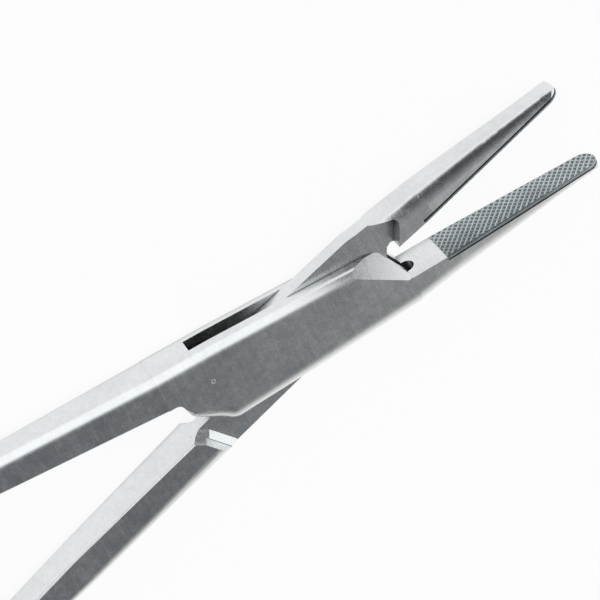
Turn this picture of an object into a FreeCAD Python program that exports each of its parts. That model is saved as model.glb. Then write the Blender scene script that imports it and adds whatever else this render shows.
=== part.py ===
import FreeCAD, Part
import math
import os
import re

import Sketcher
from FreeCAD import Placement, Rotation, Vector

# Surgical needle holder with a box lock and hatched jaw inserts, in millimetres.
# Built closed about the pivot axis at x = 0, y = 0, with the middle plane of the lock at z = 0.
# The finished pieces are raised so that the lower flat of the lock lies on z = 0, and the tenon half
# is turned to the open pose. +X runs to the jaw tips, +Y to the side of the tenon half's jaw.

SIZES = [
    ("lock_thickness", 5.8, "thickness of the box over its two flats"),
    ("slot_width", 2.2, "height of the slot through the box"),
    ("slide_clearance", 0.05, "gap between tenon face and slot wall, each side"),
    ("outer_half", 5.53, "half width of the lock at the pivot"),
    ("outer_slope", 0.048, "growth of the half width per mm towards the rings"),
    ("pin_radius", 1.7, "pivot pin"),
    ("bore_clearance", 0.04, "running gap round the pin in the tenon"),
    ("open_angle", 14.08, "opening of the tenon half in the resting pose"),

    ("jaw_root", 17.7, "where the box ends and the jaw begins"),
    ("jaw_length", 44.3, "pivot to jaw tip"),
    ("jaw_root_back", 4.58, "depth of the jaw at its root"),
    ("jaw_first_x", 24.0, "first section behind the inserts' start"),
    ("jaw_first_back", 3.75, "depth of the jaw there"),
    ("jaw_middle_x", 31.0, "section at mid jaw"),
    ("jaw_middle_back", 3.0, "depth of the jaw there"),
    ("jaw_last_x", 38.0, "section near the tip"),
    ("jaw_last_back", 2.12, "depth of the jaw there"),
    ("jaw_tip_back", 1.3, "depth of the jaw at its tip"),
    ("box_jaw_slim", 0.2, "how much shallower the box half's jaw is than the tenon half's"),
    ("jaw_insert_half", 2.88, "half width of the jaw where the insert starts"),
    ("jaw_tip_half", 1.82, "half width of the jaw at its rounded tip"),
    ("tip_rounding", 1.0, "rounding of the tip's back edge"),
    ("relief", 0.15, "jaw base set back behind the gripping plane"),
    ("blend_step", 0.03, "step where a jaw or shank leaves the lock block"),
    ("blend_run", 0.3, "how far a jaw or shank reaches into the lock block"),

    ("insert_start", 22.45, "pivot to the rear end of the insert"),
    ("insert_depth", 0.6, "thickness of the insert"),
    ("insert_bevel", 0.12, "bevel round the gripping face"),
    ("grip_gap", 0.03, "gripping face to the closing plane"),

    ("shank_start", -15.0, "rear end of the lock block"),
    ("shank_inner_start", 0.95, "inner face of the shank at the lock"),
    ("shank_outer_start", 6.05, "outer face of the shank at the lock"),
    ("shank_gap_x", -13.5, "rear face of the box at the shank gap"),
    ("shank_gap_rounding", 0.9, "plan rounding where the shank leaves the box"),
    ("shank_near_x", -35.0, "section of the shank at the picture's edge"),
    ("shank_near_inner", 2.5, "inner face there"),
    ("box_near_outer", 6.88, "outer face of the box half's shank there"),
    ("tenon_near_outer", 7.27, "outer face of the tenon half's shank there"),
    ("shank_near_thickness", 4.5, "thickness there"),
    ("shank_middle_x", -62.0, "section at mid shank"),
    ("shank_middle_inner", 4.7, "inner face there"),
    ("shank_middle_outer", 8.5, "outer face there"),
    ("shank_middle_thickness", 3.9, "thickness there"),
    ("shank_end_x", -96.0, "section ahead of the ring"),
    ("shank_end_inner", 6.3, "inner face there"),
    ("shank_end_outer", 10.1, "outer face there"),
    ("shank_end_thickness", 3.7, "thickness there"),
    ("shank_tail_x", -107.0, "end of the shank inside the ring"),
    ("shank_tail_inner", 5.9, "inner face there"),
    ("shank_tail_outer", 9.9, "outer face there"),
    ("inner_corner", 0.22, "corner radius of the shank's inner edges at the lock"),
    ("inner_corner_middle", 0.9, "the same at mid shank"),
    ("inner_corner_end", 1.5, "the same at the ring"),
    ("outer_corner_end", 1.6, "the same at the ring"),

    ("ring_x", -119.0, "centre of the finger ring"),
    ("ring_y", 15.9, "centre of the finger ring"),
    ("ring_long", 13.9, "half length of the ring's centre line"),
    ("ring_short", 11.9, "half width of the ring's centre line"),
    ("ring_end_round", 10.4, "radius of the centre line's two ends"),
    ("ring_wall", 3.9, "width of the ring's bar"),
    ("ring_thickness", 4.1, "thickness of the ring's bar"),
    ("ring_easing", 1.6, "rounding of the bar's corners, in three steps"),

    ("ratchet_x", -97.0, "middle of the ratchet arms"),
    ("ratchet_width", 4.6, "width of the ratchet arms along the shank"),
    ("ratchet_plate", 1.5, "thickness of a ratchet arm"),
    ("ratchet_split", 0.35, "gap from the middle plane to the arm's flat"),
    ("ratchet_reach", 0.6, "gap from the closing plane to the arm's end"),
    ("tooth_pitch", 1.5, "pitch of the ratchet teeth"),
    ("tooth_height", 0.65, "height of the ratchet teeth"),
    ("tooth_count", 3, "number of ratchet teeth"),

    ("slot_rear_x", -9.63, "rear end wall of the slot"),
    ("slot_neck_y", -0.65, "upper limit of the slot behind the rear wall"),
    ("lock_back", 5.68, "depth of the box at its rear corner on the jaw side"),
    ("slot_front_low_x", 12.9, "front end of the slot on the jaw side"),
    ("slot_throat_low_x", 17.0, "front wall of the slot below the throat"),
    ("slot_throat_low_y", -3.0, "front wall of the slot below the throat"),
    ("throat_x", 17.85, "centre of the milled throat of the slot"),
    ("wall_peak_x", 15.25, "front corner of the box wall"),
    ("wall_peak_y", 4.62, "front corner of the box wall"),
    ("wall_throat_x", 17.37, "front end of the box wall at the throat"),
    ("wall_throat_y", 0.72, "front end of the box wall at the throat"),
    ("wall_front_x", 13.4, "front end of the box's outer face"),
    ("lock_rear_apex_x", -12.9, "rear corner of the box at the shank gap"),
    ("lock_rear_apex_y", -1.7, "rear corner of the box at the shank gap"),
    ("lock_bend_x", -7.0, "where the box's outer face bends towards the shank"),
    ("lock_rear_low_x", -8.6, "rear corner of the box on the jaw side"),
    ("lock_rear_rounding", 2.6, "plan rounding of the box's rear corners"),
    ("lock_apex_edge", 1.1, "rounding of the box's edge at the shank gap"),
    ("lock_outer_rounding", 1.35, "rounding of the box edge on the shank side"),
    ("lock_back_rounding", 2.3, "rounding of the box edge on the jaw side"),
    ("bevel_rear_x", 12.07, "front bevel on the flat, outer end"),
    ("bevel_rear_y", 3.39, "front bevel on the flat, outer end"),
    ("bevel_front_x", 17.0, "front bevel on the flat, throat end"),
    ("bevel_front_y", -0.06, "front bevel on the flat, throat end"),

    ("bevel_lip", 0.1, "how far the bevel's low corner passes the slot's wall"),

    ("tenon_back", 4.3, "upper edge of the tenon at its bend"),
    ("tenon_back_front", 4.6, "upper edge of the tenon where its jaw begins"),
    ("tenon_bend_x", 0.5, "where the upper edge turns down"),
    ("tenon_rear_top_y", 3.7, "rear upper corner of the tenon"),
    ("tenon_rear_x", -9.15, "rear edge of the tenon"),
    ("tenon_rear_y", 1.2, "upper end of the tenon's rear edge"),
    ("tenon_rear_top_x", -6.6, "rear upper corner of the tenon"),
    ("tenon_neck_y", -1.25, "upper edge of the tenon's neck"),
    ("tenon_outer_rear", 6.05, "outer edge of the tenon at the rear shoulder"),
    ("tenon_outer_front", 4.92, "outer edge of the tenon at its front"),
    ("tenon_front_x", 12.4, "front end of the tenon's outer edge"),
    ("tenon_throat_x", 15.9, "tenon below the throat"),
    ("tenon_throat_y", -2.2, "tenon below the throat"),
    ("notch_top_x", 17.4, "throat notch at the gripping side"),
    ("notch_top_y", 0.3, "throat notch at the gripping side"),
    ("notch_low_x", 16.45, "lower end of the throat notch's wall"),
    ("notch_low_y", -0.9, "lower end of the throat notch's wall"),
    ("notch_rounding", 0.45, "rounding of the throat notch"),
    ("tenon_jaw_x", 13.6, "where the tenon half's jaw leaves the tenon"),
    ("pocket_back_x", 15.7, "run-out of the jaw's pocket on its back"),
    ("pocket_back_y", 4.75, "run-out of the jaw's pocket on its back"),
    ("pocket_corner_x", 20.5, "inner corner of the pocket"),
    ("pocket_corner_y", 3.05, "inner corner of the pocket"),
    ("pocket_grip_x", 18.2, "pocket at the gripping side"),
    ("pocket_rounding", 0.6, "rounding of the pocket's inner corner"),
    ("shoulder_top_x", -13.9, "rear shoulder at the inner face"),
    ("shoulder_mid_x", -12.75, "rear shoulder"),
    ("shoulder_mid_y", -2.2, "rear shoulder"),
    ("shoulder_low_x", -11.15, "rear shoulder at the outer face"),
    ("shoulder_step", 0.8, "height of the shoulder's lower step"),
    ("shoulder_shift", 0.95, "how far back its upper step begins"),
    ("shoulder_low_slope", 44.0, "slope of the shoulder's lower step, degrees"),
    ("shoulder_slope", 28.0, "slope of the shoulder's upper step, degrees"),
]

doc = FreeCAD.newDocument("needle_holder")
sheet = doc.addObject("Spreadsheet::Sheet", "sizes")
names = set()
for row, (alias, value, note) in enumerate(SIZES, start=1):
    sheet.set("A%d" % row, alias)
    sheet.set("B%d" % row, str(value))
    sheet.set("C%d" % row, note)
    sheet.setAlias("B%d" % row, alias)
    names.add(alias)
doc.recompute()
working = doc.addObject("Spreadsheet::Sheet", "working")
known = {}


def bound(expression):
    """The expression with every size name pointed at the sheet."""
    def point(match):
        word = match.group(0)
        return "sizes." + word if word in names else word
    return re.sub(r"[a-z_][a-z_0-9]*", point, str(expression))


def value(expression):
    """The number that an expression of size names gives."""
    key = str(expression)
    if key not in known:
        cell = "A%d" % (len(known) + 1)
        working.set(cell, "=" + bound(expression))
        working.recompute()
        number = working.get(cell)
        known[key] = float(getattr(number, "Value", number))
    return known[key]


def bind(item, prop, expression):
    item.setExpression(prop, bound(expression))


def derived(alias, expression, note):
    """A size that follows from others, kept as a formula in the sheet."""
    row = len(names) + 1
    sheet.set("A%d" % row, alias)
    sheet.set("B%d" % row, "=" + expression)
    sheet.set("C%d" % row, note)
    sheet.setAlias("B%d" % row, alias)
    names.add(alias)
    sheet.recompute()


derived("half_lock", "lock_thickness / 2", "half thickness of the lock")
derived("half_slot", "slot_width / 2", "half height of the slot")
derived("half_tenon", "slot_width / 2 - slide_clearance", "half thickness of the tenon")
derived("ring_side_round", "((ring_long - ring_end_round) ^ 2 + ring_short ^ 2 - ring_end_round ^ 2)"
        " / (2 * (ring_short - ring_end_round))", "radius of the ring's two sides")
derived("lock_bend_outer", "outer_half - outer_slope * lock_bend_x", "outer face at the bend")
derived("wall_front_outer", "outer_half - outer_slope * wall_front_x", "outer face at the front of the wall")
derived("tip_centre_x", "jaw_length - jaw_tip_half", "centre of the tip's round")
derived("tip_reach", "tip_centre_x - insert_start", "insert's start to the centre of the tip's round")
derived("tip_lean", "atan(jaw_insert_half / tip_reach) - asin(jaw_tip_half / sqrt(tip_reach ^ 2 + jaw_insert_half ^ 2))",
        "angle of the jaw's tapered side")
derived("jaw_taper", "tan(tip_lean)", "narrowing per side and mm")
derived("tip_start_x", "tip_centre_x + jaw_tip_half * sin(tip_lean)", "where the tip's round begins")
derived("tip_start_half", "jaw_tip_half * cos(tip_lean)", "half width there")

MIDDLE = Rotation(Vector(0, 0, 1), 0)
SIDE = Rotation(Vector(1, 0, 0), 90)
ACROSS = Rotation(Vector(1, 1, 1), 120)


def sketch(name, corners, arcs=None, circle=None, rotation=MIDDLE, base=("0", "0", "0")):
    """A closed profile whose corners and arc radii are tied to expressions.

    corners: pairs of expressions in the sketch's own axes, in order round the profile.
    arcs: {index: (radius, side)} for the edges, from corner index to the next, that are arcs. A side of 1
    bulges to the right of the edge's direction, which is outwards on a profile drawn anticlockwise.
    """
    arcs = arcs or {}
    item = doc.addObject("Sketcher::SketchObject", name)
    item.Placement = Placement(Vector(*[value(part) for part in base]), rotation)
    for axis, part in zip("xyz", base):
        if part != "0":
            bind(item, "Placement.Base." + axis, part)
    if circle:
        centre_x, centre_y, radius = circle
        centre = Vector(value(centre_x), value(centre_y), 0)
        item.addGeometry(Part.Circle(centre, Vector(0, 0, 1), value(radius)), False)
        for kind, part in (("DistanceX", centre_x), ("DistanceY", centre_y)):
            number = item.addConstraint(Sketcher.Constraint(kind, -1, 1, 0, 3, value(part)))
            bind(item, "Constraints[%d]" % number, part)
        number = item.addConstraint(Sketcher.Constraint("Radius", 0, value(radius)))
        bind(item, "Constraints[%d]" % number, radius)
        return item
    points = [Vector(value(x), value(y), 0) for x, y in corners]
    count = len(points)
    for index in range(count):
        start = points[index]
        end = points[(index + 1) % count]
        if index in arcs:
            radius, side = arcs[index]
            chord = end - start
            reach = value(radius)
            across = Vector(chord.y, -chord.x, 0).normalize() * side
            depth = math.sqrt(max(reach ** 2 - (chord.Length / 2) ** 2, 0))
            centre = (start + end) * 0.5 - across * depth
            middle = centre + across * reach
            if side > 0:
                item.addGeometry(Part.Arc(start, middle, end), False)
            else:
                item.addGeometry(Part.Arc(end, middle, start), False)
        else:
            item.addGeometry(Part.LineSegment(start, end), False)
    # An arc that turns clockwise is stored the other way round, with its ends swapped.
    ends = [(2, 1) if index in arcs and arcs[index][1] < 0 else (1, 2) for index in range(count)]
    for index in range(count):
        after = (index + 1) % count
        item.addConstraint(Sketcher.Constraint("Coincident", index, ends[index][1], after, ends[after][0]))
    for index, corner in enumerate(corners):
        for kind, part in zip(("DistanceX", "DistanceY"), corner):
            made = Sketcher.Constraint(kind, -1, 1, index, ends[index][0], value(part))
            number = item.addConstraint(made)
            bind(item, "Constraints[%d]" % number, part)
    for index, (radius, side) in arcs.items():
        number = item.addConstraint(Sketcher.Constraint("Radius", index, value(radius)))
        bind(item, "Constraints[%d]" % number, radius)
    return item


def prism(name, profile, length, middle=True, taper=None):
    """The profile pushed along its own normal, both ways or one way."""
    item = doc.addObject("Part::Extrusion", name)
    item.Base = profile
    item.DirMode = "Normal"
    item.Solid = True
    item.Symmetric = middle
    bind(item, "LengthFwd", length)
    if taper:
        bind(item, "TaperAngle", taper)
    return item


def loft(name, profiles):
    item = doc.addObject("Part::Loft", name)
    item.Sections = profiles
    item.Solid = True
    item.Ruled = True
    return item


def fused(name, items):
    item = doc.addObject("Part::MultiFuse", name)
    item.Shapes = items
    item.Refine = False
    return item


def cut(name, base, tool):
    item = doc.addObject("Part::Cut", name)
    item.Base = base
    item.Tool = tool
    item.Refine = False
    return item


def common(name, items):
    item = doc.addObject("Part::MultiCommon", name)
    item.Shapes = items
    return item


def edges_of(base, wanted):
    """Numbers of the edges whose middle and direction pass the test."""
    doc.recompute()
    found = []
    for number, edge in enumerate(base.Shape.Edges, start=1):
        if edge.Length < 1e-6:
            continue
        half = (edge.FirstParameter + edge.LastParameter) / 2
        if wanted(edge, edge.valueAt(half), edge.tangentAt(half)):
            found.append(number)
    return found


def rounded(name, base, picks):
    """Edges of the base rounded: picks are (numbers, radius expression)."""
    item = doc.addObject("Part::Fillet", name)
    item.Base = base
    edges = []
    for numbers, radius in picks:
        edges += [(number, value(radius), value(radius)) for number in numbers]
    item.Edges = edges
    return item


def jaw_half(x):
    """Half width of a jaw at x, for both jaws and both inserts."""
    return "min(half_lock; jaw_insert_half - jaw_taper * (%s - insert_start))" % x


def across(way, expression):
    """The expression on the +Y side for a way of 1, on the -Y side for -1."""
    return expression if way > 0 else "-(%s)" % expression


def jaw_section(name, x, back, way, half=None):
    """Jaw profile: flat gripping side on the closing plane, rounded back on the way's side."""
    half = half or jaw_half(x)
    radius = "min(lock_back_rounding; 0.84 * %s; 0.85 * (%s))" % (half, back)
    flat = "%s - %s" % (back, radius)
    side = "(%s - %s)" % (half, radius)
    corners = [
        (across(way, flat), "-" + half),
        (across(way, back), "-" + side),
        (across(way, back), side),
        (across(way, flat), half),
        ("0", half),
        ("0", "-" + half),
    ]
    return sketch(name, corners, {0: (radius, way), 2: (radius, way)}, rotation=ACROSS, base=(x, "0", "0"))


def shank_section(name, x, inner, outer, half, inner_radius, outer_radius, way):
    """Shank profile with its own radii on the inner and outer edges."""
    corners = [
        (across(way, "%s + %s" % (inner, inner_radius)), "-(%s)" % half),
        (across(way, "%s - %s" % (outer, outer_radius)), "-(%s)" % half),
        (across(way, outer), "-(%s - %s)" % (half, outer_radius)),
        (across(way, outer), "%s - %s" % (half, outer_radius)),
        (across(way, "%s - %s" % (outer, outer_radius)), half),
        (across(way, "%s + %s" % (inner, inner_radius)), half),
        (across(way, inner), "%s - %s" % (half, inner_radius)),
        (across(way, inner), "-(%s - %s)" % (half, inner_radius)),
    ]
    arcs = {1: (outer_radius, way), 3: (outer_radius, way), 5: (inner_radius, way), 7: (inner_radius, way)}
    return sketch(name, corners, arcs, rotation=ACROSS, base=(x, "0", "0"))


def jaw_outline(name, start, face):
    """The jaw seen square on to its gripping face, with a rounded tip, drawn from start forwards."""
    if start == "open":
        behind = [("-jaw_length", "half_lock * 1.5"), ("-jaw_length", "-half_lock * 1.5"),
                  ("jaw_root - 6", "-half_lock * 1.5"), ("jaw_root - 6", "-half_lock - 0.2"),
                  ("insert_start - 2", "-(jaw_insert_half + jaw_taper * 2)")]
        ahead = [("insert_start - 2", "jaw_insert_half + jaw_taper * 2"), ("jaw_root - 6", "half_lock + 0.2"),
                 ("jaw_root - 6", "half_lock * 1.5")]
    else:
        behind = [(start, "-" + jaw_half(start))]
        ahead = [(start, jaw_half(start))]
    tip = [("tip_start_x", "-tip_start_half"), ("tip_start_x", "tip_start_half")]
    arcs = {len(behind): ("jaw_tip_half", 1)}
    return sketch(name, behind + tip + ahead, arcs, rotation=SIDE, base=("0", face, "0"))


def shank(name, start, inner, outer, near_outer, rounding, way):
    """One shank from the lock to the inside of its ring."""
    sections = [
        shank_section(name + "_section_lock", start + " + blend_run", inner + " + blend_step",
                      outer + " - blend_step * 1.5", "(half_lock - blend_step)",
                      "inner_corner", rounding, way),
        shank_section(name + "_section_near", "shank_near_x", "shank_near_inner", near_outer,
                      "shank_near_thickness / 2", "inner_corner", "lock_outer_rounding", way),
        shank_section(name + "_section_middle", "shank_middle_x", "shank_middle_inner", "shank_middle_outer",
                      "shank_middle_thickness / 2", "inner_corner_middle", "outer_corner_end", way),
        shank_section(name + "_section_end", "shank_end_x", "shank_end_inner", "shank_end_outer",
                      "shank_end_thickness / 2", "inner_corner_end", "outer_corner_end", way),
        shank_section(name + "_section_tail", "shank_tail_x", "shank_tail_inner", "shank_tail_outer",
                      "shank_end_thickness / 2", "inner_corner_end", "outer_corner_end", way),
    ]
    return loft(name, sections)


def ring(name, way):
    """An oval finger ring of rounded bar."""
    meet_x = "(ring_long - ring_end_round) * (1 + ring_end_round / (ring_side_round - ring_end_round))"
    meet_y = "(ring_side_round - ring_short) * ring_end_round / (ring_side_round - ring_end_round)"
    end_round = ("ring_end_round", 1)
    side_round = ("ring_side_round", 1)
    path = sketch(name + "_path", [
        ("ring_long", "0"),
        (meet_x, meet_y),
        ("-" + meet_x, meet_y),
        ("-" + meet_x, "-" + meet_y),
        (meet_x, "-" + meet_y),
    ], {0: end_round, 1: side_round, 2: end_round, 3: side_round, 4: end_round},
        base=("ring_x", across(way, "ring_y"), "0"))
    wide = "ring_wall / 2"
    tall = "ring_thickness / 2"
    corners = []
    for across_sign, up_sign in ((1, -1), (1, 1), (-1, 1), (-1, -1)):
        steps = (0, 30, 60, 90) if across_sign * up_sign > 0 else (90, 60, 30, 0)
        for step in steps:
            corners.append((
                across(across_sign, "%s - ring_easing * (1 - cos(%d deg))" % (wide, step)),
                across(up_sign, "%s - ring_easing * (1 - sin(%d deg))" % (tall, step)),
            ))
    bar = sketch(name + "_bar", corners, rotation=SIDE,
                 base=("ring_x + ring_long", across(way, "ring_y"), "0"))
    doc.recompute()
    item = doc.addObject("Part::Sweep", name)
    item.Sections = [bar]
    item.Spine = (path, ["Edge%d" % number for number in range(1, 6)])
    item.Solid = True
    item.Frenet = False
    return item


def ratchet(name, way, layer):
    """A ratchet arm with saw teeth at its end, facing the other arm. A layer of 1 is the upper one."""
    def up(expression):
        return across(layer, expression)
    low = "ratchet_split"
    high = "ratchet_split + ratchet_plate"
    root = "shank_end_inner + 1.5"
    corners = [(across(way, root), up(high)), (across(way, root), up(low))]
    for tooth in reversed(range(int(value("tooth_count")))):
        start = "ratchet_reach + tooth_pitch * %d" % tooth
        corners.append((across(way, start + " + tooth_pitch"), up(low)))
        corners.append((across(way, start + " + tooth_pitch * 0.25"), up(low + " - tooth_height")))
        corners.append((across(way, start), up(low + " - tooth_height * 0.15")))
    corners.append((across(way, "ratchet_reach"), up(high + " - 0.4")))
    corners.append((across(way, "ratchet_reach + 0.4"), up(high)))
    profile = sketch(name + "_profile", corners, rotation=ACROSS, base=("ratchet_x", "0", "0"))
    return prism(name, profile, "ratchet_width")


def plate(name, corners, low, high, taper=None, arcs=None):
    """A plan profile pushed up from low to high."""
    profile = sketch(name + "_plan", corners, arcs, base=("0", "0", low))
    return prism(name, profile, "%s - (%s)" % (high, low), middle=False, taper=taper)


# The box half: lock block, jaw, shank, ring and ratchet arm, then the slot, the bore and the front bevels.
block_plan = sketch("block_plan", [
    ("shank_start", "shank_inner_start"),
    ("shank_gap_x", "shank_inner_start"),
    ("lock_rear_apex_x", "lock_rear_apex_y"),
    ("lock_rear_low_x", "-lock_back"),
    ("jaw_root", "-jaw_root_back"),
    ("jaw_root", "0"),
    ("wall_throat_x", "wall_throat_y"),
    ("wall_peak_x", "wall_peak_y"),
    ("wall_front_x", "wall_front_outer"),
    ("lock_bend_x", "lock_bend_outer"),
    ("shank_start", "shank_outer_start"),
])
block = prism("block", block_plan, "lock_thickness")


def near(point, x, y, reach=0.4):
    return abs(point.x - value(x)) < reach and abs(point.y - value(y)) < reach


def upright(direction):
    return abs(direction.z) > 0.99


apex = edges_of(block, lambda edge, at, way: upright(way) and near(at, "lock_rear_apex_x", "lock_rear_apex_y"))
low = edges_of(block, lambda edge, at, way: upright(way) and near(at, "lock_rear_low_x", "-lock_back"))
gap = edges_of(block, lambda edge, at, way: upright(way) and near(at, "shank_gap_x", "shank_inner_start"))
block_plan_rounded = rounded("block_plan_rounded", block, [
    (apex, "lock_rear_rounding / 2"), (low, "lock_rear_rounding"), (gap, "shank_gap_rounding"),
])


def flat_edge(edge, at, way):
    return abs(abs(at.z) - value("half_lock")) < 1e-3 and abs(way.z) < 0.01


def outer_side(edge, at, way):
    return flat_edge(edge, at, way) and at.y > value("wall_front_outer") - 0.3 and edge.Length > 5


def back_side(edge, at, way):
    return (flat_edge(edge, at, way) and at.y < -value("jaw_root_back") + 0.4
            and at.x < value("jaw_root") - 0.1)


def rear_side(edge, at, way):
    return (flat_edge(edge, at, way) and -value("jaw_root_back") + 0.4 <= at.y
            and at.y < value("shank_inner_start") + 0.01 and at.x < value("lock_rear_low_x"))


def rear_rounding(point):
    """Rounding of the flat's edge at a corner of the rear end: it widens from the shank gap to the jaw side."""
    if point.y < value("lock_rear_apex_y") - 0.7:
        return value("lock_back_rounding")
    start = value("shank_inner_start - shank_gap_rounding")
    share = (start - point.y) / (start - value("lock_rear_apex_y"))
    share = min(max(share, 0), 1)
    return value("inner_corner") + share * value("lock_apex_edge - inner_corner")


outer_edges = edges_of(block_plan_rounded, outer_side)
back_edges = edges_of(block_plan_rounded, back_side)
block_rounded = rounded("block_rounded", block_plan_rounded, [
    (outer_edges, "lock_outer_rounding"), (back_edges, "lock_back_rounding"),
])
rear_edges = []
for number in edges_of(block_plan_rounded, rear_side):
    edge = block_plan_rounded.Shape.Edges[number - 1]
    ends = [rear_rounding(edge.valueAt(at)) for at in (edge.FirstParameter, edge.LastParameter)]
    rear_edges.append((number, ends[0], ends[1]))
block_rounded.Edges = list(block_rounded.Edges) + rear_edges


def jaw(name, root, root_back, slim, way):
    """A tapering jaw, cut to its rounded tip and with the insert's seat milled out."""
    sections = [
        jaw_section(name + "_section_root", root + " - blend_run", root_back + " - blend_step", way,
                    "(half_lock - blend_step)"),
        jaw_section(name + "_section_first", "jaw_first_x", "(jaw_first_back - %s)" % slim, way),
        jaw_section(name + "_section_middle", "jaw_middle_x", "(jaw_middle_back - %s)" % slim, way),
        jaw_section(name + "_section_last", "jaw_last_x", "(jaw_last_back - %s)" % slim, way),
        jaw_section(name + "_section_tip", "jaw_length", "(jaw_tip_back - %s / 2)" % slim, way),
    ]
    body = loft(name + "_loft", sections)
    outline = jaw_outline(name + "_outline", "open", "0")
    sides = prism(name + "_sides", outline, "lock_thickness * 3")
    crown_plan = sketch(name + "_crown_plan", [
        (root + " - 4", across(way, "-lock_thickness")),
        ("jaw_length", across(way, "-lock_thickness")),
        ("jaw_length", across(way, "jaw_tip_back - tip_rounding")),
        ("jaw_length - tip_rounding", across(way, "jaw_tip_back + 0.12 * tip_rounding")),
        (root + " - 4", across(way, "jaw_root_back * 2")),
    ], {2: ("tip_rounding * 1.08", way)})
    crown = prism(name + "_crown", crown_plan, "lock_thickness * 2")
    tipped = common(name + "_tipped", [body, sides, crown])
    seat_plan = sketch(name + "_seat_plan", [
        ("insert_start", across(way, "-lock_thickness")),
        ("jaw_length + 1", across(way, "-lock_thickness")),
        ("jaw_length + 1", across(way, "grip_gap + insert_depth")),
        ("insert_start", across(way, "grip_gap + insert_depth")),
        ("insert_start", across(way, "relief")),
        (root + " - 1", across(way, "relief")),
        (root + " - 1", across(way, "-lock_thickness")),
    ])
    seat = prism(name + "_seat", seat_plan, "lock_thickness * 2")
    return cut(name, tipped, seat)


def round_bar(name, x, y, radius, length):
    """A round bar along Z."""
    profile = sketch(name + "_circle", [], circle=(x, y, radius))
    return prism(name, profile, length)


box_jaw = jaw("box_jaw", "jaw_root", "jaw_root_back", "box_jaw_slim", -1)
box_shank = shank("box_shank", "shank_start", "shank_inner_start", "shank_outer_start",
                  "box_near_outer", "lock_outer_rounding", 1)
box_ring = ring("box_ring", 1)
box_ratchet = ratchet("box_ratchet", 1, 1)
box_blank = fused("box_blank", [block_rounded, box_jaw, box_shank, box_ring, box_ratchet])

beyond = "(outer_half * 2)"
slot = plate("slot", [
    ("slot_rear_x", beyond),
    ("slot_rear_x", "slot_neck_y"),
    ("shank_start - 2", "slot_neck_y"),
    ("shank_start - 2", "-" + beyond),
    ("slot_front_low_x", "-" + beyond),
    ("slot_front_low_x", "-(outer_half - outer_slope * slot_front_low_x) - 0.2"),
    ("slot_throat_low_x", "slot_throat_low_y"),
    ("throat_x", "-half_slot"),
    ("throat_x", beyond),
], "-half_slot", "half_slot")
throat_circle = sketch("throat_circle", [], circle=("throat_x", "0", "half_slot"), rotation=SIDE,
                       base=("0", "outer_half", "0"))
throat = prism("throat", throat_circle, "outer_half + half_slot + 0.8", middle=False)
bore = round_bar("bore", "0", "0", "pin_radius", "lock_thickness + 2")
doc.recompute()


def front_bevel(name, layer):
    """The wedge that bevels the front end of a box wall, from the flat down to the slot."""
    size = {word: value(word) for word in (
        "bevel_rear_x", "bevel_rear_y", "bevel_front_x", "bevel_front_y", "wall_peak_x", "wall_peak_y",
        "half_lock", "half_slot", "bevel_lip", "relief")}
    rear = Vector(size["bevel_rear_x"], size["bevel_rear_y"], size["half_lock"])
    front = Vector(size["bevel_front_x"], size["bevel_front_y"], size["half_lock"])
    peak = Vector(size["wall_peak_x"], size["wall_peak_y"], size["half_slot"] - size["bevel_lip"])
    along = (front - rear).normalize()
    normal = along.cross(peak - rear).normalize()
    if normal.z < 0:
        normal = normal * -1
    down = normal.cross(along).normalize()
    if down.z > 0:
        down = down * -1
    reach = value("jaw_length")
    start = rear - along * reach - down * reach
    corners = [start, start + along * 2 * reach, start + (along + down) * 2 * reach, start + down * 2 * reach]
    face = Part.Face(Part.makePolygon(corners + [start]))
    above = Part.makeBox(2 * reach, reach, 2 * reach, Vector(-reach / 2, -size["relief"], -reach))
    wedge = face.extrude(normal * reach).common(above)
    if layer < 0:
        wedge = wedge.mirror(Vector(0, 0, 0), Vector(0, 0, 1))
    item = doc.addObject("Part::Feature", name)
    item.Shape = wedge
    return item


upper_bevel = front_bevel("upper_bevel", 1)
lower_bevel = front_bevel("lower_bevel", -1)

box_tool = fused("box_tool", [slot, throat, bore, upper_bevel, lower_bevel])
box_half = cut("box_half", box_blank, box_tool)

# The tenon half, drawn closed: its jaw on +Y and its shank on -Y.
tenon_jaw = jaw("tenon_jaw", "tenon_jaw_x", "tenon_back_front", "0", 1)
tenon_shank = shank("tenon_shank", "shoulder_low_x + 0.6", "shank_inner_start",
                    "outer_half - outer_slope * (shoulder_low_x + 0.6)", "tenon_near_outer",
                    "lock_back_rounding", -1)
tenon_ring = ring("tenon_ring", -1)
tenon_ratchet = ratchet("tenon_ratchet", -1, -1)


def pocket(name, low, high):
    """What the box wall needs of the tenon half's jaw, on one side of the tenon."""
    body = plate(name + "_body", [
        ("tenon_jaw_x - 1.1", "-1"),
        ("pocket_grip_x", "-1"),
        ("pocket_grip_x", "0"),
        ("pocket_corner_x", "pocket_corner_y"),
        ("pocket_back_x", "pocket_back_y"),
        ("tenon_jaw_x - 1.1", "pocket_back_y + 1.9"),
    ], low, high)
    corner = edges_of(body, lambda edge, at, way: upright(way)
                      and near(at, "pocket_corner_x", "pocket_corner_y"))
    return rounded(name, body, [(corner, "pocket_rounding")])


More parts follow.
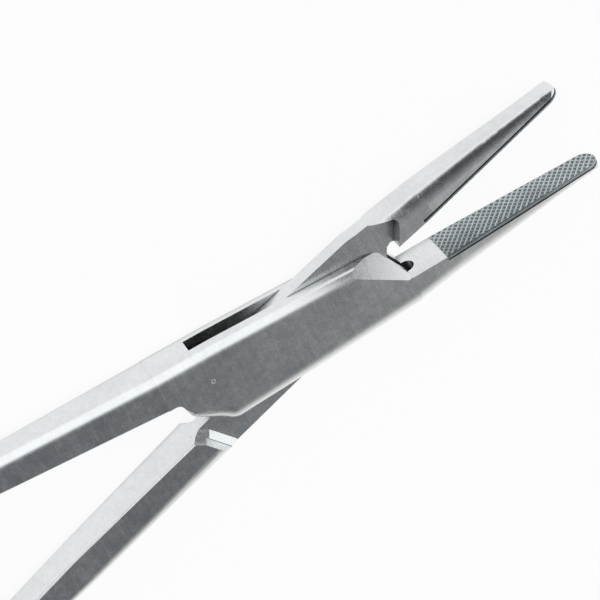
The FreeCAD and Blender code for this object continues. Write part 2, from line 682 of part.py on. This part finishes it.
def shoulder(name, layer):
    """What the box wall needs of the tenon half's shank: a rear shoulder that slopes up in two steps."""
    outer = "-(outer_half - outer_slope * shoulder_low_x)"
    steps = []
    for number, (rise, shift, length, slope) in enumerate((
            ("0", "0", "shoulder_step", "shoulder_low_slope"),
            ("shoulder_step", "shoulder_shift", "half_lock", "shoulder_slope"))):
        body = sketch("%s_plan_%d" % (name, number), [
            ("shoulder_top_x - " + shift, "0"),
            ("shoulder_top_x - " + shift, "-shank_inner_start"),
            ("shoulder_mid_x - " + shift, "shoulder_mid_y"),
            ("shoulder_low_x - " + shift, outer),
            ("shoulder_low_x - " + shift, outer + " - 3"),
            ("shoulder_low_x + 6", outer + " - 3"),
            ("shoulder_low_x + 6", "0"),
        ], base=("0", "0", across(layer, "half_tenon + " + rise)))
        step = prism("%s_%d" % (name, number), body, length, middle=False, taper=slope)
        step.Reversed = layer < 0
        steps.append(step)
    return fused(name, steps)


upper_pocket = pocket("upper_pocket", "half_tenon", "half_lock + 1")
lower_pocket = pocket("lower_pocket", "-(half_lock + 1)", "-half_tenon")
upper_shoulder = shoulder("upper_shoulder", 1)
lower_shoulder = shoulder("lower_shoulder", -1)
tenon_ends = fused("tenon_ends", [tenon_jaw, tenon_shank])
tenon_ends_tool = fused("tenon_ends_tool", [upper_pocket, lower_pocket, upper_shoulder, lower_shoulder])
tenon_ends_cut = cut("tenon_ends_cut", tenon_ends, tenon_ends_tool)
tenon_blank = plate("tenon_blank", [
    ("shoulder_top_x - 1.2", "tenon_neck_y"),
    ("shoulder_top_x - 1.2", "-tenon_outer_rear"),
    ("shoulder_low_x", "-tenon_outer_rear"),
    ("tenon_front_x", "-tenon_outer_front"),
    ("tenon_throat_x", "tenon_throat_y"),
    ("notch_low_x", "notch_low_y"),
    ("notch_top_x", "notch_top_y"),
    ("pocket_corner_x + 0.8", "notch_top_y"),
    ("pocket_corner_x + 0.8", "pocket_corner_y + 0.3"),
    ("tenon_jaw_x + 0.6", "tenon_back_front - 0.05"),
    ("tenon_bend_x", "tenon_back"),
    ("tenon_rear_top_x", "tenon_rear_top_y"),
    ("tenon_rear_x", "tenon_rear_y"),
    ("tenon_rear_x", "tenon_neck_y"),
], "-half_tenon", "half_tenon")
tenon_bore = round_bar("tenon_bore", "0", "0", "pin_radius + bore_clearance", "lock_thickness + 2")
notch = round_bar("notch", "notch_top_x + notch_rounding", "notch_top_y - notch_rounding",
                  "notch_rounding", "lock_thickness + 2")
tenon_holes = fused("tenon_holes", [notch, tenon_bore])
tenon_joined = fused("tenon_joined", [tenon_ends_cut, tenon_blank, tenon_ring, tenon_ratchet])
tenon_half = cut("tenon_half", tenon_joined, tenon_holes)


def insert(name, way):
    """A gripping insert: the jaw's outline, bevelled round its gripping face."""
    body = doc.addObject("PartDesign::Body", name)
    face = next(item for item in body.Origin.OriginFeatures if item.Role == "XZ_Plane")
    outline = jaw_outline(name + "_outline", "insert_start", "0")
    body.addObject(outline)
    outline.AttachmentSupport = [(face, "")]
    outline.MapMode = "FlatFace"
    # The plane's normal is -Y, so a depth to the way's side is measured against it.
    outline.AttachmentOffset = Placement(Vector(0, 0, value(across(-way, "grip_gap"))), MIDDLE)
    bind(outline, "AttachmentOffset.Base.z", across(-way, "grip_gap"))
    pad = body.newObject("PartDesign::Pad", name + "_pad")
    pad.Profile = outline
    bind(pad, "Length", "insert_depth")
    pad.Reversed = way > 0
    doc.recompute()
    level = value(across(way, "grip_gap"))
    rim = ["Edge%d" % number for number in edges_of(
        pad, lambda edge, at, direction: abs(at.y - level) < 1e-3
        and abs(edge.valueAt(edge.FirstParameter).y - level) < 1e-3
        and at.x > value("insert_start") + 0.05)]
    bevel = body.newObject("PartDesign::Chamfer", name + "_bevel")
    bevel.Base = (pad, rim)
    bind(bevel, "Size", "insert_bevel")
    body.Tip = bevel
    return body


box_insert = insert("box_insert", -1)
tenon_insert = insert("tenon_insert", 1)

pin = doc.addObject("PartDesign::Body", "pin")
pin_circle = sketch("pin_circle", [], circle=("0", "0", "pin_radius"))
pin.addObject(pin_circle)
pin_circle.AttachmentSupport = [(next(
    item for item in pin.Origin.OriginFeatures if item.Role == "XY_Plane"), "")]
pin_circle.MapMode = "FlatFace"
pin_pad = pin.newObject("PartDesign::Pad", "pin_pad")
pin_pad.Profile = pin_circle
pin_pad.Midplane = True
bind(pin_pad, "Length", "lock_thickness")
pin.Tip = pin_pad

# The finished pieces, each placed in the part's own frame.
PIECES = {
    "box_half": (box_half, False),
    "tenon_half": (tenon_half, True),
    "pivot_pin": (pin, False),
    "box_half_insert": (box_insert, False),
    "tenon_half_insert": (tenon_insert, True),
}
for label, (item, turns) in PIECES.items():
    item.Label = label
    angle = value("open_angle") if turns else 0
    item.Placement = Placement(Vector(0, 0, value("half_lock")), Rotation(Vector(0, 0, 1), angle))
    bind(item, "Placement.Base.z", "half_lock")
    if turns:
        bind(item, "Placement.Rotation.Angle", "open_angle")
doc.recompute()

for item in doc.Objects:
    if "Invalid" in item.State or "Error" in item.State:
        raise RuntimeError("failed: %s %s" % (item.Name, item.State))
os.makedirs("parts", exist_ok=True)
for label, (item, turns) in PIECES.items():
    shape = item.Shape
    if shape.isNull() or not shape.isValid() or len(shape.Solids) != 1:
        raise RuntimeError("bad shape: %s with %d solids" % (label, len(shape.Solids)))
    print("%s: %.1f mm3, %d faces" % (label, shape.Volume, len(shape.Faces)))
for label, (item, turns) in PIECES.items():
    item.Shape.exportStep("parts/%s.step" % label)
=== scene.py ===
import math

import bmesh
import bpy
from mathutils import Matrix, Vector


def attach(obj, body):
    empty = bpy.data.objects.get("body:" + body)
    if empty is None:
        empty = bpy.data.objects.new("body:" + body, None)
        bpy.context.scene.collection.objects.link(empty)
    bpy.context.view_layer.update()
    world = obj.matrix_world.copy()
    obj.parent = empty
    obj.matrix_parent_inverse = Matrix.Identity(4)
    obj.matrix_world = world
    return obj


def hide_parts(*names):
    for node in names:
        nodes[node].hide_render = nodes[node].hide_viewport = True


# A surgical needle holder of satin steel with hatched jaw inserts, lying open on a white table.
# Lengths are in metres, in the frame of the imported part, where x runs from the rings to the jaws and z is up.

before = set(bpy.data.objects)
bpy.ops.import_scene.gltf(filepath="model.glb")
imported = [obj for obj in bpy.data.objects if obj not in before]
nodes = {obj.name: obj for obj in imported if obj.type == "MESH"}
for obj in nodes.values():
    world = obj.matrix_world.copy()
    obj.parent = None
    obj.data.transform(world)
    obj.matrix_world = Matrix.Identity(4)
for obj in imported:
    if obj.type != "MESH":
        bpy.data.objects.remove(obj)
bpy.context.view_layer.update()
scene = bpy.context.scene
MM = 0.001
LOCK_HALF = 2.9 * MM
LOCK_TOP = 2 * LOCK_HALF
CLOSED_TURN = math.radians(14.08)
WHITE = (1.0, 1.0, 1.0, 1.0)


def srgb(red, green, blue):
    """A linear colour from 0 to 255 screen values."""
    def linear(part):
        part = part / 255
        return part / 12.92 if part <= 0.04045 else ((part + 0.055) / 1.055) ** 2.4
    return (linear(red), linear(green), linear(blue), 1.0)


# Camera. The turn, an axis times its angle, and the shift take axes through the middle of the lock to axes of
# the view, with x right, y down and z ahead
TURN = Vector((-2.49394, 0.63648, -0.33871))
SHIFT = Vector((-2.89418, 4.94037, 339.89)) * MM
FOCAL_PIXELS = 2884.7
IMAGE_PIXELS = 600
SENSOR_WIDTH = 36
CLIP_NEAR = 0.01
CLIP_FAR = 20


def make_camera():
    data = bpy.data.cameras.new("camera")
    data.sensor_width = SENSOR_WIDTH
    data.lens = FOCAL_PIXELS / IMAGE_PIXELS * data.sensor_width
    data.clip_start = CLIP_NEAR
    data.clip_end = CLIP_FAR
    turn = Matrix.Rotation(TURN.length, 3, TURN.normalized())
    axes = Matrix((turn[0], -turn[1], -turn[2])).transposed().to_4x4()
    axes.translation = -(turn.transposed() @ SHIFT) + Vector((0, 0, LOCK_HALF))
    camera = bpy.data.objects.new("camera", data)
    camera.matrix_world = axes
    scene.collection.objects.link(camera)
    scene.camera = camera


make_camera()


# Crevices, told by the share of open space round a point; the steel's painted shade and grime go there
CREVICE_SAMPLES = 8
CREVICE_DEEP = 0.3
CREVICE_OPEN = 0.64


class Graph:
    """A short way to write the nodes of a material or of the world."""

    def __init__(self, tree, place="Object"):
        self.tree = tree
        self.place = self.add("ShaderNodeTexCoord").outputs[place]

    def add(self, kind, inputs=None, **settings):
        node = self.tree.nodes.new(kind)
        for key, setting in settings.items():
            setattr(node, key, setting)
        for key, source in (inputs or {}).items():
            self.feed(node.inputs[key], source)
        return node

    def feed(self, socket, source):
        """Link a socket to another one, or set it to a plain value."""
        if isinstance(source, bpy.types.NodeSocket):
            self.tree.links.new(source, socket)
        else:
            socket.default_value = source

    def maths(self, operation, first, second=0.0):
        return self.add("ShaderNodeMath", {0: first, 1: second}, operation=operation).outputs[0]

    def total(self, *weighted):
        """The sum of pairs of a value and its weight."""
        result = None
        for value, weight in weighted:
            part = self.maths("MULTIPLY", value, weight)
            result = part if result is None else self.maths("ADD", result, part)
        return result

    def noise(self, scale, detail, roughness, stretch=None):
        vector = self.place
        if stretch:
            vector = self.add("ShaderNodeMapping", {"Vector": vector, "Scale": stretch}).outputs[0]
        node = self.add("ShaderNodeTexNoise", {
            "Vector": vector, "Scale": scale, "Detail": detail, "Roughness": roughness})
        return node.outputs["Fac"]

    def ramp(self, value, start, end, first=0.0, last=1.0, way="LINEAR"):
        """A value from start to end taken to one from first to last, and held outside them."""
        node = self.add("ShaderNodeMapRange", {
            "Value": value, "From Min": start, "From Max": end, "To Min": first, "To Max": last},
            interpolation_type=way)
        return node.outputs[0]

    def axis(self, name):
        return self.add("ShaderNodeSeparateXYZ", {0: self.place}).outputs[name]

    def colours(self, factor, stops):
        """A colour from a factor, through stops that each have a position and a colour."""
        node = self.add("ShaderNodeValToRGB", {"Fac": factor})
        elements = node.color_ramp.elements
        elements[0].position, elements[0].color = stops[0]
        elements[1].position, elements[1].color = stops[-1]
        for position, colour in stops[1:-1]:
            elements.new(position).color = colour
        return node.outputs["Color"]

    def blend(self, factor, first, second, way="MIX"):
        node = self.add("ShaderNodeMix", {"Factor": factor, "A": first, "B": second},
                        data_type="RGBA", blend_type=way)
        return node.outputs["Result"]

    def bump(self, height, strength, distance, normal=None):
        inputs = {"Height": height, "Strength": strength, "Distance": distance}
        if normal is not None:
            inputs["Normal"] = normal
        return self.add("ShaderNodeBump", inputs).outputs["Normal"]

    def ring(self, centre, radius, width):
        """1 on a thin ring round a point, falling to 0 at a width inside and outside it."""
        away = self.add("ShaderNodeVectorMath", {0: self.place, 1: centre}, operation="DISTANCE")
        off = self.maths("ABSOLUTE", self.maths("SUBTRACT", away.outputs["Value"], radius))
        return self.ramp(off, 0.0, width, 1.0, 0.0)

    def crevice(self, reach):
        """1 deep in a corner or slot, 0 on open surfaces."""
        node = self.add("ShaderNodeAmbientOcclusion", {"Distance": reach}, samples=CREVICE_SAMPLES)
        return self.ramp(node.outputs["AO"], CREVICE_DEEP, CREVICE_OPEN, 1.0, 0.0)

    def path(self, *kinds):
        """1 for rays of the named kinds, 0 for all others."""
        rays = self.add("ShaderNodeLightPath").outputs
        result = rays[kinds[0]]
        for kind in kinds[1:]:
            result = self.maths("MAXIMUM", result, rays[kind])
        return result


def new_material(name):
    material = bpy.data.materials.new(name)
    material.use_nodes = True
    return material, Graph(material.node_tree)


def dress(obj, material):
    obj.data.materials.clear()
    obj.data.materials.append(material)


def finish_metal(graph, colour, roughness, normal):
    sockets = graph.tree.nodes["Principled BSDF"].inputs
    sockets["Metallic"].default_value = 1.0
    graph.feed(sockets["Base Color"], colour)
    graph.feed(sockets["Roughness"], roughness)
    graph.feed(sockets["Normal"], normal)


# Steel. A noise is its scale, detail and roughness, and a bump is its strength and depth. The low and high values
# are those of the mixed noise between which the steel goes from its first colour to its second
CLOUD = (140, 2.0, 0.5)
BLOTCH = (900, 4.0, 0.7)
GRAIN = (3400, 3.0, 0.7)
BRUSHED = (2600, 3.0, 0.6)
BRUSHED_STRETCH = (1.0, 0.07, 0.3)
CLOUD_SHARE = 0.25
BLOTCH_SHARE = 0.3
GRAIN_SHARE = 0.25
BRUSHED_SHARE = 0.2
MIX_LOW = 0.4
MIX_HIGH = 0.6
STEEL_LOW = srgb(220, 222, 224)
STEEL_HIGH = srgb(236, 238, 239)
STEEL_SMOOTH = 0.21
STEEL_ROUGH = 0.31
# Painted shade with some grime: the colour that corners and slots of the steel darken towards
CREVICE_SHADE_AND_GRIME = srgb(46, 42, 36)
SHADE_AND_GRIME_REACH = 3.0 * MM
SHADE_AND_GRIME_COVER = 0.92
CREVICE_ROUGH = 0.2
BLOTCH_BUMP = (0.2, 0.012 * MM)
MARK_BUMP = (0.5, -0.05 * MM)
BRUSHED_BUMP = (0.15, 0.006 * MM)
GRAIN_BUMP = (0.15, 0.005 * MM)
MARK_CENTRE = (-8.8 * MM, 1.65 * MM, LOCK_TOP)
MARK_RADIUS = 0.22 * MM
MARK_WIDTH = 0.12 * MM


def satin_steel(name, punched):
    """Forged stainless steel: cloudy, faintly brushed and darkened in its corners by painted shade with some
    grime, with or without a punch mark.
    """
    material, graph = new_material(name)
    cloud = graph.noise(*CLOUD)
    blotch = graph.noise(*BLOTCH)
    grain = graph.noise(*GRAIN)
    brushed = graph.noise(*BRUSHED, stretch=BRUSHED_STRETCH)
    mix = graph.total(
        (cloud, CLOUD_SHARE), (blotch, BLOTCH_SHARE), (grain, GRAIN_SHARE), (brushed, BRUSHED_SHARE))
    base = graph.colours(mix, ((MIX_LOW, STEEL_LOW), (MIX_HIGH, STEEL_HIGH)))
    # Painted shade with some grime, laid in corners and slots where shade falls
    shade_and_grime = graph.crevice(SHADE_AND_GRIME_REACH)
    colour = graph.blend(graph.maths("MULTIPLY", shade_and_grime, SHADE_AND_GRIME_COVER), base, CREVICE_SHADE_AND_GRIME)
    worn = graph.ramp(mix, MIX_LOW, MIX_HIGH, STEEL_SMOOTH, STEEL_ROUGH)
    roughness = graph.maths("ADD", worn, graph.maths("MULTIPLY", shade_and_grime, CREVICE_ROUGH))
    normal = graph.bump(blotch, *BLOTCH_BUMP)
    if punched:
        normal = graph.bump(graph.ring(MARK_CENTRE, MARK_RADIUS, MARK_WIDTH), *MARK_BUMP, normal)
    normal = graph.bump(brushed, *BRUSHED_BUMP, normal)
    normal = graph.bump(grain, *GRAIN_BUMP, normal)
    finish_metal(graph, colour, roughness, normal)
    return material


# Inserts: x runs along the jaw, y away from the gripping plane and z across the jaw. A rim slopes off round
# the face, and behind a step the brazed seam runs round the back. The hatching is a lattice of diamonds, each
# with a pit, and HATCH_FLAT is the size of the pit's floor as a share of the diamond
INSERT_START = 22.45 * MM
INSERT_HALF = 2.88 * MM
INSERT_TAPER = 0.0528
TIP_RADIUS = 1.82 * MM
TIP_CENTRE = 42.475 * MM
TIP_STEPS = 28
FACE_GAP = 0.03 * MM
INSERT_BACK = 0.6 * MM
RIM_WIDTH = 0.2 * MM
RIM_DEPTH = 0.2 * MM
RIM_ABOVE = 0.02 * MM
SEAM_TOP = 0.42 * MM
SEAM_INSET = 0.06 * MM
HATCH_DEPTH = 0.1 * MM
HATCH_STEP_X = 0.84 * MM
HATCH_STEP_Z = 0.97 * MM
HATCH_FLAT = 0.35

# Slab that the hatching comes from: the half steps of the lattice that it has past the insert, and its back
HATCH_SPARE_X = 6
HATCH_SPARE_Z = 3
SLAB_BACK = FACE_GAP + 2 * INSERT_BACK

# Carbide. Its colour goes by depth behind the gripping plane, as a share of the way to the insert's back: ridges,
# slopes, pits, rim, sides and dark seam.
# The pale ridges and the darker slopes and pits are the hatching's painted light and shade. A range is two inputs
# and the two results that they give
CARBIDE_COLOURS_AND_SHADE = (
    (0.055, srgb(212, 218, 218)),
    (0.12, srgb(172, 180, 183)),
    (0.19, srgb(84, 92, 98)),
    (0.26, srgb(176, 182, 184)),
    (0.62, srgb(160, 166, 169)),
    (0.72, srgb(58, 62, 66)),
    (1.0, srgb(58, 62, 66)))
CARBIDE_GRAIN = (2400, 4.0, 0.65)
CARBIDE_PATCH = (300, 2.0, 0.5)
CARBIDE_BUMP = (0.3, 0.012 * MM)
GRAIN_IN_SPOTS = 0.6
PATCH_IN_SPOTS = 0.4
SPOTS_RANGE = (0.38, 0.62, 0.8, 1.12)
ROUGH_RANGE = (0.2, 0.27, 0.2, 0.45)
GRAIN_ROUGH = 0.3


def hatched_carbide(name):
    """Grey-green carbide with the hatching's light and shade painted in, pale on the ridges and dark in the pits,
    and dark at the brazed seam.
    """
    material, graph = new_material(name)
    depth = graph.ramp(graph.maths("ABSOLUTE", graph.axis("Y")), 0.0, FACE_GAP + INSERT_BACK)
    grain = graph.noise(*CARBIDE_GRAIN)
    patch = graph.noise(*CARBIDE_PATCH)
    spots = graph.ramp(graph.total((grain, GRAIN_IN_SPOTS), (patch, PATCH_IN_SPOTS)), *SPOTS_RANGE)
    tint = graph.add("ShaderNodeCombineColor", {0: spots, 1: spots, 2: spots}).outputs[0]
    # Painted light and shade of the hatching: pale ridges, darker slopes, dark pits
    colour = graph.blend(1.0, graph.colours(depth, CARBIDE_COLOURS_AND_SHADE), tint, "MULTIPLY")
    roughness = graph.total((grain, GRAIN_ROUGH), (graph.ramp(depth, *ROUGH_RANGE), 1.0))
    finish_metal(graph, colour, roughness, graph.bump(grain, *CARBIDE_BUMP))
    return material


def insert_outline(inset):
    """The corners of an insert seen on its gripping face, drawn in by an inset except at its rear end."""
    lean = math.atan(INSERT_TAPER)
    radius = TIP_RADIUS - inset
    half = INSERT_HALF - inset / math.cos(lean)
    corners = [(INSERT_START, half)]
    for step in range(TIP_STEPS + 1):
        turn = (math.pi / 2 - lean) * (1 - 2 * step / TIP_STEPS)
        corners.append((TIP_CENTRE + radius * math.cos(turn), radius * math.sin(turn)))
    return corners + [(INSERT_START, -half)]


def new_object(name, mesh):
    bmesh.ops.recalc_face_normals(mesh, faces=mesh.faces)
    data = bpy.data.meshes.new(name)
    mesh.to_mesh(data)
    mesh.free()
    obj = bpy.data.objects.new(name, data)
    scene.collection.objects.link(obj)
    return obj


def stacked(name, levels):
    """A closed body through equal rings of corners, each at its own depth."""
    mesh = bmesh.new()
    rings = []
    for depth, corners in levels:
        rings.append([mesh.verts.new((x, depth, z)) for x, z in corners])
    count = len(rings[0])
    for upper, lower in zip(rings, rings[1:]):
        for k in range(count):
            after = (k + 1) % count
            mesh.faces.new((upper[k], upper[after], lower[after], lower[k]))
    mesh.faces.new(rings[0])
    mesh.faces.new(rings[-1])
    return new_object(name, mesh)


def hatched_slab(name):
    """A slab larger than an insert, with two crossing rows of ridges and a flat pit in each diamond."""
    mesh = bmesh.new()
    corners = {}

    def hatch_point(i, k, depth):
        return Vector((INSERT_START - HATCH_STEP_X + i * HATCH_STEP_X / 2, depth, k * HATCH_STEP_Z / 2))

    def corner(i, k):
        if (i, k) not in corners:
            corners[i, k] = mesh.verts.new(hatch_point(i, k, FACE_GAP))
        return corners[i, k]

    columns = int((TIP_CENTRE + TIP_RADIUS - INSERT_START) / HATCH_STEP_X * 2) + HATCH_SPARE_X
    rows = int(INSERT_HALF / HATCH_STEP_Z * 2) + HATCH_SPARE_Z
    low = FACE_GAP + HATCH_DEPTH
    for i in range(1, columns):
        for k in range(-rows, rows + 1):
            if (i + k) % 2:
                continue
            # One diamond: four ridge corners, and a smaller pit floor below them
            ridge = [corner(*place) for place in ((i - 1, k), (i, k + 1), (i + 1, k), (i, k - 1))]
            middle = hatch_point(i, k, low)
            pit = []
            for point in ridge:
                below = Vector((point.co.x, low, point.co.z))
                pit.append(mesh.verts.new(middle + (below - middle) * HATCH_FLAT))
            mesh.faces.new(pit)
            for side in range(4):
                after = (side + 1) % 4
                mesh.faces.new((ridge[side], ridge[after], pit[after], pit[side]))
    # The open rim is carried to the back and closed there
    rim = [edge for edge in mesh.edges if edge.is_boundary]
    wall = bmesh.ops.extrude_edge_only(mesh, edges=rim)["geom"]
    for part in wall:
        if isinstance(part, bmesh.types.BMVert):
            part.co.y = SLAB_BACK
    bmesh.ops.holes_fill(mesh, edges=[edge for edge in mesh.edges if edge.is_boundary], sides=0)
    return new_object(name, mesh)


def cut_to(blank, slab):
    """The mesh that a blank and a slab have in common. The slab is then deleted."""
    cut = blank.modifiers.new("hatch", "BOOLEAN")
    cut.operation = "INTERSECT"
    cut.solver = "EXACT"
    cut.object = slab
    result = bpy.data.meshes.new_from_object(blank.evaluated_get(bpy.context.evaluated_depsgraph_get()))
    blank.modifiers.clear()
    bpy.data.objects.remove(slab)
    return result


def make_insert(name, node, body, side, turn, material):
    """A hatched insert that takes a plain one's place, side 1 or -1 along y, turned with its jaw."""
    whole = insert_outline(0)
    inner = insert_outline(SEAM_INSET)
    blank = stacked(name, (
        (FACE_GAP - RIM_ABOVE, insert_outline(RIM_WIDTH * (1 + RIM_ABOVE / RIM_DEPTH))),
        (FACE_GAP + RIM_DEPTH, whole),
        (FACE_GAP + SEAM_TOP, whole),
        (FACE_GAP + SEAM_TOP, inner),
        (FACE_GAP + INSERT_BACK, inner)))
    blank.data = cut_to(blank, hatched_slab(name + "_cut"))
    if side < 0:
        blank.data.transform(Matrix.Scale(-1, 4, (0, 1, 0)))
        blank.data.flip_normals()
    blank.matrix_world = Matrix.Translation((0, 0, LOCK_HALF)) @ Matrix.Rotation(turn, 4, "Z")
    dress(blank, material)
    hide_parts(node)
    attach(blank, body)


steel = satin_steel("satin_steel", punched=False)
marked_steel = satin_steel("marked_steel", punched=True)
carbide = hatched_carbide("hatched_carbide")
FINISHES = (
    ("box_half", marked_steel),
    ("tenon_half", steel),
    ("pivot_pin", steel),
    ("box_half_insert", carbide),
    ("tenon_half_insert", carbide))
for node, finish in FINISHES:
    dress(nodes[node], finish)

make_insert("hatched_insert_box", "box_half_insert", "box_side", -1, 0.0, carbide)
make_insert("hatched_insert_tenon", "tenon_half_insert", "tenon_side", 1, CLOSED_TURN, carbide)


def make_sheet(name, corners, material_name):
    """A flat sheet through four corners, its material's graph and the socket that still needs a surface."""
    mesh = bpy.data.meshes.new(name)
    mesh.from_pydata(corners, [], [(0, 1, 2, 3)])
    sheet = bpy.data.objects.new(name, mesh)
    scene.collection.objects.link(sheet)
    material, graph = new_material(material_name)
    graph.tree.nodes.remove(graph.tree.nodes["Principled BSDF"])
    dress(sheet, material)
    return sheet, graph, graph.tree.nodes["Material Output"].inputs["Surface"]


# Floor
FLOOR_HALF = 3.0
FLOOR_PAINT = (0.97, 0.97, 0.97, 1.0)
FLOOR_GLOW = 0.92


def make_floor():
    """A table that looks white to the camera and in mirrors, and keeps a faint shadow."""
    corners = [(x * FLOOR_HALF, y * FLOOR_HALF, 0) for x, y in ((-1, -1), (1, -1), (1, 1), (-1, 1))]
    floor, graph, surface = make_sheet("floor", corners, "white_table")
    shown = graph.path("Is Camera Ray", "Is Glossy Ray", "Is Transmission Ray")
    glow = graph.add("ShaderNodeEmission", {"Color": WHITE, "Strength": shown})
    paint = graph.add("ShaderNodeBsdfDiffuse", {"Color": FLOOR_PAINT})
    mixed = graph.add("ShaderNodeMixShader", {0: FLOOR_GLOW, 1: paint.outputs[0], 2: glow.outputs[0]})
    graph.feed(surface, mixed.outputs[0])


make_floor()

# Dark card: y and z of its two long edges, x of its two short ones, and pairs of a height and a brightness
CARD_LOW = (0.0435, 0.0105)
CARD_HIGH = (-0.008, 0.062)
CARD_LEFT = 0.0145
CARD_RIGHT = 0.050
CARD_SHADES = ((0.0105, 0.9), (0.016, 0.05), (0.026, 0.05), (0.044, 0.26), (0.062, 0.32))
CARD_TINT = (0.95, 0.98, 1.0)


def make_card():
    """A dark card beside the upper jaw, seen only in the mirror of the steel."""
    places = ((CARD_LEFT, CARD_LOW), (CARD_RIGHT, CARD_LOW), (CARD_RIGHT, CARD_HIGH), (CARD_LEFT, CARD_HIGH))
    corners = [(x, y, z) for x, (y, z) in places]
    card, graph, surface = make_sheet("dark_card", corners, "dark_card")
    low, high = CARD_SHADES[0][0], CARD_SHADES[-1][0]
    stops = []
    for height, shade in CARD_SHADES:
        colour = [part * shade for part in CARD_TINT] + [1.0]
        stops.append(((height - low) / (high - low), colour))
    shades = graph.colours(graph.ramp(graph.axis("Z"), low, high), stops)
    glow = graph.add("ShaderNodeEmission", {"Color": shades, "Strength": 1.0})
    graph.feed(surface, glow.outputs[0])
    card.visible_camera = False
    card.visible_diffuse = False
    card.visible_transmission = False
    card.visible_shadow = False


make_card()

# World: a soft pale room, warmer and dimmer towards -y and dim at low x, with one dark stretch of ceiling
DARK_WAY = Vector((-0.33, -0.52, 0.79)).normalized()
DARK_INNER = math.radians(12)
DARK_OUTER = math.radians(53)
ROOM_FRONT = (0.78, 0.77, 0.73, 1)
ROOM_BACK = (1.19, 1.21, 1.22, 1)
DARK = (0.108, 0.117, 0.128, 1)
SIDE = (0.26, 0.27, 0.28, 1)
FRONT_TO_BACK = (-0.75, 0.1)
ROOM_TO_SIDE = (-0.3, -0.85)


def make_world():
    """The light on the object. The camera itself sees plain white there."""
    world = bpy.data.worlds.new("world")
    scene.world = world
    world.use_nodes = True
    graph = Graph(world.node_tree, "Generated")

    def share(value, start, end):
        return graph.ramp(value, start, end, way="SMOOTHSTEP")

    towards = graph.add("ShaderNodeVectorMath", {0: graph.place, 1: DARK_WAY}, operation="DOT_PRODUCT")
    dark = share(towards.outputs["Value"], math.cos(DARK_OUTER), math.cos(DARK_INNER))
    room = graph.blend(share(graph.axis("Y"), *FRONT_TO_BACK), ROOM_FRONT, ROOM_BACK)
    room = graph.blend(share(graph.axis("X"), *ROOM_TO_SIDE), room, SIDE)
    room = graph.blend(dark, room, DARK)
    light = graph.blend(graph.path("Is Camera Ray"), room, WHITE)
    graph.feed(world.node_tree.nodes["Background"].inputs["Color"], light)


make_world()

scene.view_settings.view_transform = "Standard"
